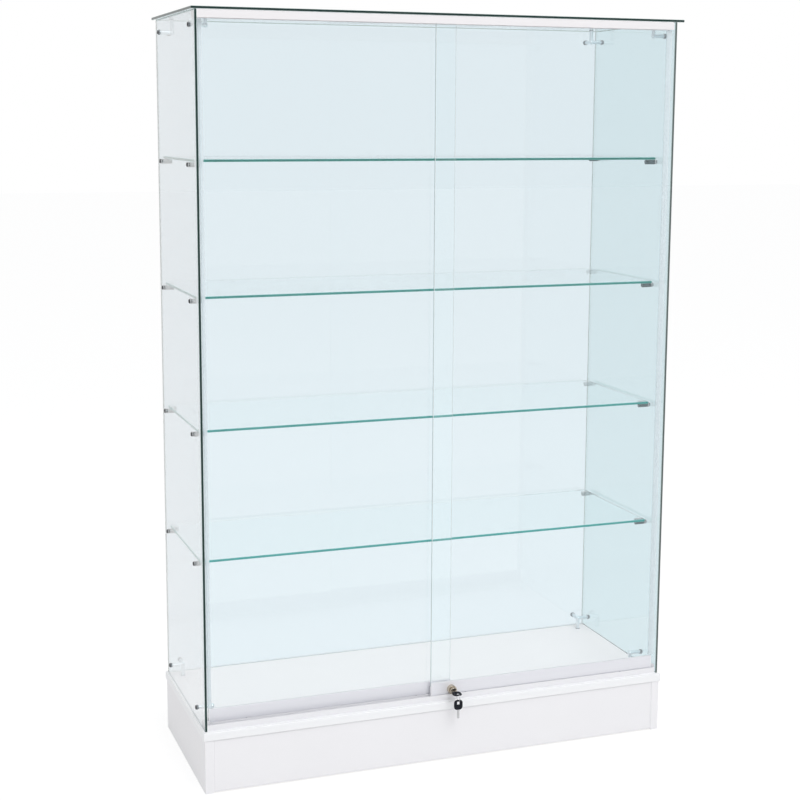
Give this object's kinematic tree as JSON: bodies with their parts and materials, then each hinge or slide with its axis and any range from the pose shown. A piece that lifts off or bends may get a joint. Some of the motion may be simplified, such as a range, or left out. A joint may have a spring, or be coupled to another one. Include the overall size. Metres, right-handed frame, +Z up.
{
  "type": "glass display case",
  "caption": "Free-standing glass display case on a white plinth, with glass shelves on studs, sliding glass doors on wheels and a keyed push lock.",
  "frame": {"origin": "on the floor under the middle of the deck, at the middle of the plinth divider's bottom face", "axes": "+X to the right seen from the front, +Y to the back, +Z up"},
  "size_m": [1.21, 0.4818, 1.8036],
  "materials": {
    "white_board": "white laminate, satin",
    "raw_wood": "bare softwood",
    "side_glass": "clear float glass, polished green edges",
    "back_glass": "clear float glass, polished green edges",
    "level_glass": "clear float glass, polished green edges",
    "door_glass": "clear float glass, polished green edges",
    "fitting_steel": "satin",
    "dark_screw": "dark plated",
    "plain_steel": "zinc plated",
    "clear_washer": "translucent soft plastic",
    "white_track": "white powder coat",
    "pale_track": "satin anodised",
    "door_rail": "satin anodised",
    "rail_cap": "moulded",
    "edge_seal": "translucent soft plastic",
    "gasket": "soft pale grey",
    "bumper": "soft grey",
    "nylon": "natural nylon",
    "lock_chrome": "bright plated",
    "lock_brass": "turned",
    "key_bow": "moulded black",
    "key_blade": "nickel plated",
    "ring_steel": "bright steel"
  },
  "bodies": {
    "case": {"deck": "white_board", "plinth_side_left": "white_board", "plinth_side_right": "white_board", "kick_board": "white_board", "plinth_back": "white_board", "plinth_divider": "white_board", "corner_blocks": "raw_wood", "deck_dowels": "raw_wood", "side_glass_left": "side_glass", "side_glass_right": "side_glass", "back_glass": "back_glass", "top_glass": "level_glass", "shelf_1": "level_glass", "shelf_2": "level_glass", "shelf_3": "level_glass", "shelf_4": "level_glass", "top_connectors": "fitting_steel", "base_connectors": "fitting_steel", "shelf_studs": "fitting_steel", "connector_screws": "dark_screw", "stud_screws": "dark_screw", "block_screws": "plain_steel", "deck_bolts": "plain_steel", "lower_track_screws": "plain_steel", "connector_washers": "clear_washer", "stud_washers": "clear_washer", "shelf_pads": "clear_washer", "upper_track": "white_track", "lower_track": "pale_track", "track_bumpers": "bumper"},
    "right_door": {"right_door_glass": "door_glass", "right_door_rail": "door_rail", "right_rail_caps": "rail_cap", "right_door_gasket": "gasket", "right_door_seal": "edge_seal", "right_top_guides": "nylon", "right_wheel_axles": "plain_steel", "lock_housing": "lock_chrome", "lock_clip": "plain_steel"},
    "left_door": {"left_door_glass": "door_glass", "left_door_rail": "door_rail", "left_rail_caps": "rail_cap", "left_door_gasket": "gasket", "left_door_seal": "edge_seal", "left_top_guides": "nylon", "left_wheel_axles": "plain_steel", "lock_strike": "plain_steel"},
    "right_inner_wheel": {"right_inner_wheel": "nylon"},
    "right_outer_wheel": {"right_outer_wheel": "nylon"},
    "left_inner_wheel": {"left_inner_wheel": "nylon"},
    "left_outer_wheel": {"left_outer_wheel": "nylon"},
    "lock_plunger": {"lock_plunger": "lock_chrome"},
    "key": {"lock_core": "lock_brass", "key_blade": "key_blade", "key_bow": "key_bow"},
    "key_ring": {"key_ring": "ring_steel"},
    "spare_key": {"spare_key_blade": "key_blade", "spare_key_bow": "key_bow"}
  },
  "joints": [
    {"name": "right_door_slide", "type": "slide", "parent": "case", "child": "right_door", "axis": [-1, 0, 0], "range_m": [0, 0.552]},
    {"name": "left_door_slide", "type": "slide", "parent": "case", "child": "left_door", "axis": [1, 0, 0], "range_m": [0, 0.552]},
    {"name": "right_inner_wheel_roll", "type": "hinge", "parent": "right_door", "child": "right_inner_wheel", "pos_m": [0.062, -0.19875, 0.1628], "axis": [0, 1, 0], "continuous": true},
    {"name": "right_outer_wheel_roll", "type": "hinge", "parent": "right_door", "child": "right_outer_wheel", "pos_m": [0.49, -0.19875, 0.1628], "axis": [0, 1, 0], "continuous": true},
    {"name": "left_inner_wheel_roll", "type": "hinge", "parent": "left_door", "child": "left_inner_wheel", "pos_m": [-0.062, -0.18275, 0.1628], "axis": [0, 1, 0], "continuous": true},
    {"name": "left_outer_wheel_roll", "type": "hinge", "parent": "left_door", "child": "left_outer_wheel", "pos_m": [-0.49, -0.18275, 0.1628], "axis": [0, 1, 0], "continuous": true},
    {"name": "lock_push", "type": "slide", "parent": "right_door", "child": "lock_plunger", "axis": [0, 1, 0], "range_m": [0, 0.006], "stiffness_N_per_m": 300, "springref_m": -0.004},
    {"name": "key_turn", "type": "hinge", "parent": "lock_plunger", "child": "key", "pos_m": [0.024, -0.22, 0.176], "axis": [0, 1, 0], "range_deg": [0, 45]},
    {"name": "key_ring_hang", "type": "hinge", "parent": "key", "child": "key_ring", "pos_m": [0.024, -0.251, 0.176], "axis": [0, 1, 0], "range_deg": [-45, 0]},
    {"name": "spare_key_swing", "type": "hinge", "parent": "key_ring", "child": "spare_key", "pos_m": [0.024, -0.251, 0.1574], "axis": [0, 1, 0], "range_deg": [-45, 45]}
  ],
  "couplings": [
    {"joint": "right_inner_wheel_roll", "follows": "right_door_slide", "rad_per_m": -133.33},
    {"joint": "right_outer_wheel_roll", "follows": "right_door_slide", "rad_per_m": -133.33},
    {"joint": "left_inner_wheel_roll", "follows": "left_door_slide", "rad_per_m": 133.33},
    {"joint": "left_outer_wheel_roll", "follows": "left_door_slide", "rad_per_m": 133.33},
    {"joint": "key_ring_hang", "follows": "key_turn", "ratio": -1}
  ]
}
